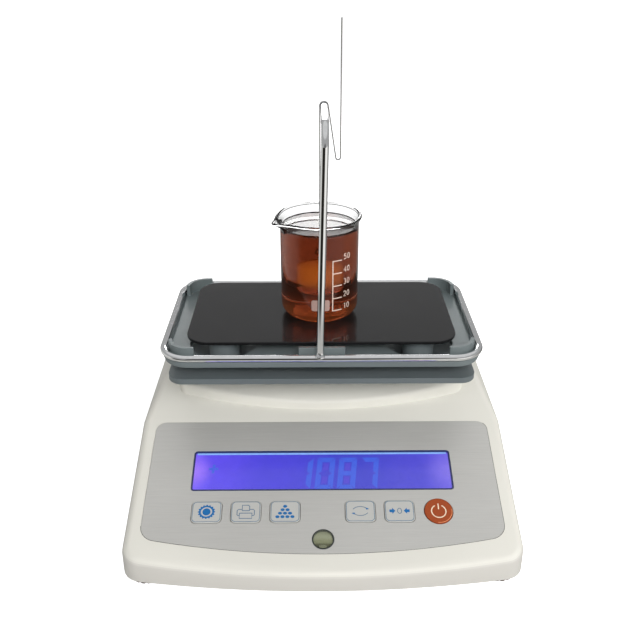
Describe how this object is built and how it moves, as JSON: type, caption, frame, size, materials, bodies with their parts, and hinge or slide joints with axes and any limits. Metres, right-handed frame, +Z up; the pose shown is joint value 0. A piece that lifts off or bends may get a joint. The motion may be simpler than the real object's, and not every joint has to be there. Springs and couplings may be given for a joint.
{
  "type": "density meter",
  "caption": "Benchtop liquid density meter: sloped keypad housing, weighing tray with wire mast, bridge plate over the tray, beaker and hanging glass sinker.",
  "frame": {"origin": "middle of the footprint, on the table", "axes": "+X to the right as the user sees it, +Y to the back, +Z up"},
  "size_m": [0.2136, 0.226, 0.2728],
  "materials": {
    "cream_plastic": "fine matt texture",
    "steel_screws": "bright zinc",
    "overlay": "brushed, silver grey",
    "display_glass": "clear window over a blue backlight",
    "display_frame": "stamped frame",
    "circuit_board": "solder mask",
    "black_plastic": "smooth",
    "key_plastic": "satin",
    "power_key_plastic": "satin",
    "level_liquid": "clear liquid under a window",
    "grey_plate": "satin grey coating",
    "black_plate": "black acrylic, polished",
    "beaker_glass": "clear",
    "chrome_wire": "polished",
    "steel_wire": "polished",
    "sinker_glass": "clear",
    "aluminium": "machined",
    "spider_cast": "dark cast",
    "steel_stop": "turned",
    "port_shell": "tinned shell",
    "foot_plastic": "dark brown, smooth",
    "foot_rubber": "soft",
    "insert_brass": "turned"
  },
  "bodies": {
    "housing": {"top_housing": "cream_plastic", "base_plate": "cream_plastic", "housing_screws": "steel_screws", "panel_overlay": "overlay", "display_lens": "display_glass", "display_module": "display_frame", "display_screws": "steel_screws", "key_board": "circuit_board", "key_switches": "black_plastic", "level_cup": "black_plastic", "level_vial": "level_liquid", "post_plate": "grey_plate", "plate_screws": "steel_screws", "post_front_left": "grey_plate", "post_front_right": "grey_plate", "post_rear_left": "grey_plate", "post_rear_right": "grey_plate", "post_screws": "steel_screws", "load_cell": "aluminium", "cell_spacer": "aluminium", "cell_bolts": "steel_screws", "overload_stop": "steel_stop", "main_board": "circuit_board", "dc_jack": "black_plastic", "serial_port": "port_shell", "foot_inserts": "insert_brass"},
    "key_settings": {"key_settings": "key_plastic"},
    "key_print": {"key_print": "key_plastic"},
    "key_enter": {"key_enter": "key_plastic"},
    "key_mode": {"key_mode": "key_plastic"},
    "key_zero": {"key_zero": "key_plastic"},
    "key_power": {"key_power": "power_key_plastic"},
    "pan_carrier": {"live_spacer": "aluminium", "carrier_arm": "aluminium", "carrier_screws": "steel_screws", "pan_spindle": "aluminium", "pan_spider": "spider_cast"},
    "tray": {"weighing_tray": "grey_plate"},
    "hanger": {"ring_frame": "chrome_wire", "mast": "chrome_wire"},
    "hook_body": {"hook": "steel_wire", "sinker": "sinker_glass", "sinker_eye": "steel_wire"},
    "bridge": {"bridge_plate": "black_plate"},
    "beaker": {"beaker": "beaker_glass"},
    "foot_front_left": {"foot_front_left": "foot_plastic", "pad_front_left": "foot_rubber"},
    "foot_front_right": {"foot_front_right": "foot_plastic", "pad_front_right": "foot_rubber"},
    "foot_rear_left": {"foot_rear_left": "foot_plastic", "pad_rear_left": "foot_rubber"},
    "foot_rear_right": {"foot_rear_right": "foot_plastic", "pad_rear_right": "foot_rubber"}
  },
  "joints": [
    {"name": "key_settings_press", "type": "slide", "parent": "housing", "child": "key_settings", "axis": [0, -0.342, 0.9397], "range_m": [-0.0004, 0], "stiffness_N_per_m": 3000, "springref_m": 0.00005},
    {"name": "key_print_press", "type": "slide", "parent": "housing", "child": "key_print", "axis": [0, -0.342, 0.9397], "range_m": [-0.0004, 0], "stiffness_N_per_m": 3000, "springref_m": 0.00005},
    {"name": "key_enter_press", "type": "slide", "parent": "housing", "child": "key_enter", "axis": [0, -0.342, 0.9397], "range_m": [-0.0004, 0], "stiffness_N_per_m": 3000, "springref_m": 0.00005},
    {"name": "key_mode_press", "type": "slide", "parent": "housing", "child": "key_mode", "axis": [0, -0.342, 0.9397], "range_m": [-0.0004, 0], "stiffness_N_per_m": 3000, "springref_m": 0.00005},
    {"name": "key_zero_press", "type": "slide", "parent": "housing", "child": "key_zero", "axis": [0, -0.342, 0.9397], "range_m": [-0.0004, 0], "stiffness_N_per_m": 3000, "springref_m": 0.00005},
    {"name": "key_power_press", "type": "slide", "parent": "housing", "child": "key_power", "axis": [0, -0.342, 0.9397], "range_m": [-0.0004, 0], "stiffness_N_per_m": 3000, "springref_m": 0.00005},
    {"name": "pan_sink", "type": "slide", "parent": "housing", "child": "pan_carrier", "axis": [0, 0, 1], "range_m": [-0.0003, 0], "stiffness_N_per_m": 9810, "springref_m": 0.0003},
    {"name": "tray_lift", "type": "slide", "parent": "pan_carrier", "child": "tray", "axis": [0, 0, 1], "range_m": [0, 0.0045]},
    {"name": "hanger_lift", "type": "slide", "parent": "tray", "child": "hanger", "axis": [0, 0, 1], "range_m": [0, 0.08]},
    {"name": "hook_swing", "type": "hinge", "parent": "hanger", "child": "hook_body", "pos_m": [-0.00042, 0.02, 0.22887], "axis": [0, 1, 0], "range_deg": [-4.5, 4.5]},
    {"name": "bridge_lift", "type": "slide", "parent": "housing", "child": "bridge", "axis": [0, 0, 1], "range_m": [0, 0.005]},
    {"name": "beaker_lift", "type": "slide", "parent": "bridge", "child": "beaker", "axis": [0, 0, 1], "range_m": [0, 0.006]},
    {"name": "foot_front_left_turn", "type": "hinge", "parent": "housing", "child": "foot_front_left", "pos_m": [-0.0938, -0.092, 0.0013], "axis": [0, 0, 1], "continuous": true},
    {"name": "foot_front_right_turn", "type": "hinge", "parent": "housing", "child": "foot_front_right", "pos_m": [0.0938, -0.092, 0.0013], "axis": [0, 0, 1], "continuous": true},
    {"name": "foot_rear_left_turn", "type": "hinge", "parent": "housing", "child": "foot_rear_left", "pos_m": [-0.0938, 0.092, 0.0013], "axis": [0, 0, 1], "continuous": true},
    {"name": "foot_rear_right_turn", "type": "hinge", "parent": "housing", "child": "foot_rear_right", "pos_m": [0.0938, 0.092, 0.0013], "axis": [0, 0, 1], "continuous": true}
  ]
}
